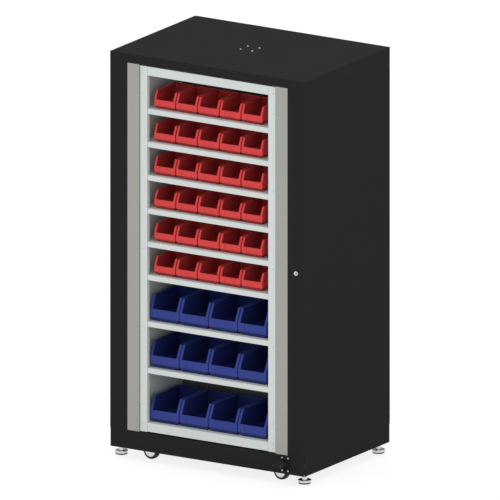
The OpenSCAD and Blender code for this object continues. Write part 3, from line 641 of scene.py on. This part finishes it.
def bin_rows(size, plastic, slot, edge, inside, under):
    """Every row of that size of bin, from one rounded bin."""
    rows = sorted(node for node in frame["nodes"] if node.startswith(size + "_bins_row_"))
    made = joined_copy(rows[0])
    solids = sorted(islands(made), key=lambda verts: corners_of(verts)[0].x)
    starts = [corners_of(verts)[0] for verts in solids]
    first = set(solids[0])
    bmesh.ops.delete(made, geom=[v for v in made.verts if v not in first], context="VERTS")
    bmesh.ops.translate(made, verts=made.verts, vec=-starts[0])
    # Paint shade into the bin: its inside and its cut-back underside get darker.
    paint_bin_shade(made, corners_of(made.verts)[1] / 2, BIN_FLOOR, inside, under)
    model = with_round_edges(piece_from(made, size + "_bin", plastic), edge, rounds=3)
    for row in rows:
        step = (starts[1].x - starts[0].x, 0, 0)
        moulded = row_of(row + "_moulded", model, plastic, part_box(row)[0], step, len(starts))
        placed(moulded, slot, row, row)
    bpy.data.objects.remove(model)


row_tree = row_maker()
# The inside and under numbers are how much painted shade darkens each size of bin.
bin_rows("large", moulded_plastic("blue_polypropylene", (0.028, 0.046, 0.25)), "blue_plastic",
         edge=0.9 * MM, inside=0.42, under=0.45)
bin_rows("small", moulded_plastic("red_polypropylene", (0.66, 0.053, 0.053)), "red_plastic",
         edge=0.8 * MM, inside=0.33, under=0.5)


# ---------------------------------------------------------------- lock
# A cam lock in the right stile: a chromed barrel with a face ring, held from behind by a nut, and
# a plug with a keyway that turns the steel cam.

LOCK_EDGE, STAMPED_EDGE = 0.5 * MM, 0.4 * MM
for node, body in (("lock_barrel", "case"), ("lock_plug", "lock")):
    part = piece_from(joined_copy(node), node + "_turned", chrome)
    placed(with_round_edges(part, LOCK_EDGE), "chrome", body, node)
nut = piece_from(joined_copy("lock_nut"), "lock_nut_pressed", zinc)
placed(with_round_edges(nut, STAMPED_EDGE), "zinc", "case", "lock_nut")
cam = piece_from(joined_copy("lock_cam"), "lock_cam_pressed", steel)
placed(with_round_edges(cam, STAMPED_EDGE), "bearing_steel", "lock", "lock_cam")


# ---------------------------------------------------------------- pedal and brake
# A black steel lever with a ribbed rubber pad comes out through a slot in a screwed plate, and a
# sheet steel cover on it closes the slot from behind.  It turns on a pin in a welded bracket and lifts
# a plunger towards the carousel's ring, and a zinc-plated coil spring drives the plunger down again.

LEVER_EDGE = 0.8 * MM
for node, body in (("pedal_plate", "case"), ("pedal_bracket", "case"), ("pedal_lever", "pedal")):
    part = piece_from(joined_copy(node), node + "_painted", black_coat, black_edge)
    placed(with_round_edges(part, LEVER_EDGE), "case_black", body, node)
pin = piece_from(joined_copy("pedal_pin"), "pedal_pin_turned", zinc)
placed(with_round_edges(pin, TURNED_EDGE), "zinc", "case", "pedal_pin")
plunger = piece_from(joined_copy("brake_plunger"), "brake_plunger_turned", steel)
placed(with_round_edges(plunger, TURNED_EDGE), "bearing_steel", "brake", "brake_plunger")

screws = joined_copy("pedal_bolts")
heads = []
for solid in islands(screws):
    low, high = corners_of(solid)
    heads.append((Vector(((low.x + high.x) / 2, high.y, (low.z + high.z) / 2)), (0, -1, 0)))
screws.free()
screw = socket_screw(head=4.0, height=2.4, key=1.4, name="screw")
placed(set_at("pedal_plate_screws", screw, zinc, heads), "zinc", "case", "pedal_bolts")


def slab(low, high, name, finish):
    """A block from corner to corner."""
    made = bmesh.new()
    bmesh.ops.create_cube(made, size=1)
    middle, size = (Vector(low) + Vector(high)) / 2, Vector(high) - Vector(low)
    bmesh.ops.scale(made, vec=size, verts=made.verts)
    bmesh.ops.translate(made, vec=middle, verts=made.verts)
    return piece_from(made, name, finish)


low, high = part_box("pedal_pad")
PAD_EDGE, PAD_MARGIN = 1.0 * MM, 1.0 * MM
RIB_STEP, RIB_HALF, RIB_HIGH, RIB_SUNK = 5.0 * MM, 1.4 * MM, 2.0 * MM, 1.0 * MM
RIB_SHORT, RIB_EDGE = 1.5 * MM, 0.8 * MM
pad_rubber = rubber("pad_rubber", (0.016, 0.016, 0.016), 0.7)
base = slab(low, (high.x, high.y, high.z - RIB_HIGH), "pedal_pad_base", pad_rubber)
placed(with_round_edges(base, PAD_EDGE), "pedal_rubber", "pedal", "pedal_pad")
rib = with_round_edges(slab((low.x + RIB_SHORT, -RIB_HALF, -RIB_SUNK),
                            (high.x - RIB_SHORT, RIB_HALF, RIB_HIGH), "rib", pad_rubber), RIB_EDGE)
count = int((high.y - low.y - 2 * PAD_MARGIN) / RIB_STEP)
start = (0, (low.y + high.y - (count - 1) * RIB_STEP) / 2, high.z - RIB_HIGH)
ribs = row_of("pedal_pad_ribs", rib, pad_rubber, start, (0, RIB_STEP, 0), count)
bpy.data.objects.remove(rib)
placed(ribs, "pedal_rubber", "pedal")

tread_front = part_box("pedal_lever")[0].y
RIVET_BACK, RIVET_IN = 5.0 * MM, 3.0 * MM
rivets = [(Vector((x, tread_front + RIVET_BACK, low.z)), (0, 0, 1))
          for x in (low.x + RIVET_IN, high.x - RIVET_IN)]
rivet = turned([(0, -1), (1.2, -1), (1.2, 0), (2.2, 0), (2.1, 0.4), (1.6, 0.8), (0.8, 1.0), (0, 1.05)],
               "rivet", steps=20)
placed(set_at("pedal_tread_rivets", rivet, zinc, rivets), "zinc", "pedal")

lever_x = (low.x + high.x) / 2
plate_low, plate_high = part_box("pedal_plate")
COVER_W, COVER_IN, COVER_T, COVER_SHORT = 42 * MM, 6 * MM, 1.5 * MM, 4 * MM
cover = slab((lever_x - COVER_W / 2, plate_high.y + COVER_IN, plate_low.z + COVER_SHORT),
             (lever_x + COVER_W / 2, plate_high.y + COVER_IN + COVER_T, plate_high.z - COVER_SHORT),
             "pedal_slot_cover", black_coat)
cover.data.materials.append(black_edge)
placed(with_round_edges(cover, SHEET_EDGE), "case_black", "pedal")


def coil_maker():
    """A node tree that winds a coil spring, given its size and its number of turns."""
    tree = bpy.data.node_groups.new("coil", "GeometryNodeTree")
    sockets = tree.interface
    for name, kind in (("Radius", "Float"), ("Wire", "Float"), ("Height", "Float"), ("Turns", "Float"),
                       ("Foot", "Vector"), ("Finish", "Material")):
        sockets.new_socket(name, in_out="INPUT", socket_type="NodeSocket" + kind)
    sockets.new_socket("Geometry", in_out="OUTPUT", socket_type="NodeSocketGeometry")
    given = tree.nodes.new("NodeGroupInput").outputs
    spiral = linked(tree, "GeometryNodeCurveSpiral", {"Resolution": 32, "Rotations": given["Turns"],
                                                      "Start Radius": given["Radius"],
                                                      "End Radius": given["Radius"],
                                                      "Height": given["Height"]})
    wire = linked(tree, "GeometryNodeCurvePrimitiveCircle", {"Resolution": 10, "Radius": given["Wire"]})
    wound = linked(tree, "GeometryNodeCurveToMesh", {"Curve": spiral.outputs[0],
                                                     "Profile Curve": wire.outputs[0], "Fill Caps": True})
    put = linked(tree, "GeometryNodeTransform", {"Geometry": wound.outputs[0],
                                                 "Translation": given["Foot"]})
    smooth = linked(tree, "GeometryNodeSetShadeSmooth", {"Geometry": put.outputs[0]})
    finished = linked(tree, "GeometryNodeSetMaterial", {"Geometry": smooth.outputs[0],
                                                        "Material": given["Finish"]})
    tree.links.new(finished.outputs[0], tree.nodes.new("NodeGroupOutput").inputs["Geometry"])
    return tree


low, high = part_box("brake_spring")
WIRE, TURNS = 1.2 * MM, 5.0
spring = bpy.data.objects.new("brake_spring_wound", bpy.data.meshes.new("brake_spring_wound"))
bpy.context.scene.collection.objects.link(spring)
foot = ((low.x + high.x) / 2, (low.y + high.y) / 2, low.z + WIRE)
with_inputs(spring, coil_maker(), Radius=(high.x - low.x) / 2 - WIRE, Wire=WIRE,
            Height=high.z - low.z - 2 * WIRE, Turns=TURNS, Foot=foot, Finish=zinc)
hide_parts("brake_spring")
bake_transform(spring)


# ---------------------------------------------------------------- stage
# A pale floor under soft studio light, seen from the front right in parallel projection.

scene = bpy.context.scene
scene.view_settings.view_transform = "Standard"

AZIMUTH = radians(32)
ELEVATION = radians(15)
VIEW_WIDTH = 2.1786
VIEW_CENTRE = Vector((0, 0.0375, 0.9255))
CAMERA_FAR = 8
back = Vector((sin(AZIMUTH) * cos(ELEVATION), -cos(AZIMUTH) * cos(ELEVATION), sin(ELEVATION)))
camera = bpy.data.objects.new("camera", bpy.data.cameras.new("camera"))
scene.collection.objects.link(camera)
camera.data.type = "ORTHO"
camera.data.ortho_scale = VIEW_WIDTH
camera.location = VIEW_CENTRE + CAMERA_FAR * back
camera.rotation_euler = (-back).to_track_quat("-Z", "Y").to_euler()
scene.camera = camera

world = bpy.data.worlds.new("studio")
scene.world = world
world.use_nodes = True
backdrop = world.node_tree.nodes["Background"]
backdrop.inputs["Color"].default_value = (1, 1, 1, 1)
backdrop.inputs["Strength"].default_value = 1.0

LAMP_FAR = 6


def soft_lamp(name, towards, size, power):
    """A square lamp out in that direction, facing the cabinet."""
    lamp = bpy.data.objects.new(name, bpy.data.lights.new(name, "AREA"))
    lamp.data.size = size
    lamp.data.energy = power
    scene.collection.objects.link(lamp)
    lamp.location = VIEW_CENTRE + LAMP_FAR * Vector(towards).normalized()
    lamp.rotation_euler = Vector(towards).to_track_quat("Z", "Y").to_euler()


soft_lamp("key", (0.64, -0.77, 0.3), size=3.0, power=32)
soft_lamp("fill", (-0.7, 0.7, 0.9), size=3.0, power=15)


def seen_directly(tree):
    """1 for what the camera sees, straight or in metal or glass, and 0 for the light on the object."""
    rays = linked(tree, "ShaderNodeLightPath").outputs
    seen = combined(tree, "MAXIMUM", rays["Is Camera Ray"], rays["Is Glossy Ray"])
    return combined(tree, "MAXIMUM", seen, rays["Is Transmission Ray"])


FLOOR_SIZE = 30
floor_mesh = bmesh.new()
bmesh.ops.create_grid(floor_mesh, x_segments=1, y_segments=1, size=FLOOR_SIZE)
floor_paint = bpy.data.materials.new("pale_floor")
floor_paint.use_nodes = True
tree = floor_paint.node_tree
GLOW = 0.84  # the white that the camera sees in the floor without any light
SEEN = 0.22  # how pale the floor is to the camera, which is what shows the shadow
LIT = 0.85  # how pale it is to the light that it throws back on the object
seen = seen_directly(tree)
shade = linked(tree, "ShaderNodeMapRange", {"Value": seen, "To Min": LIT, "To Max": SEEN})
matt = linked(tree, "ShaderNodeBsdfDiffuse", {"Color": shade.outputs[0]})
glow = linked(tree, "ShaderNodeEmission", {"Color": (1, 1, 1, 1),
                                           "Strength": combined(tree, "MULTIPLY", seen, GLOW)})
both = linked(tree, "ShaderNodeAddShader", {0: matt.outputs[0], 1: glow.outputs[0]})
tree.links.new(both.outputs[0], tree.nodes["Material Output"].inputs["Surface"])
piece_from(floor_mesh, "floor", floor_paint)
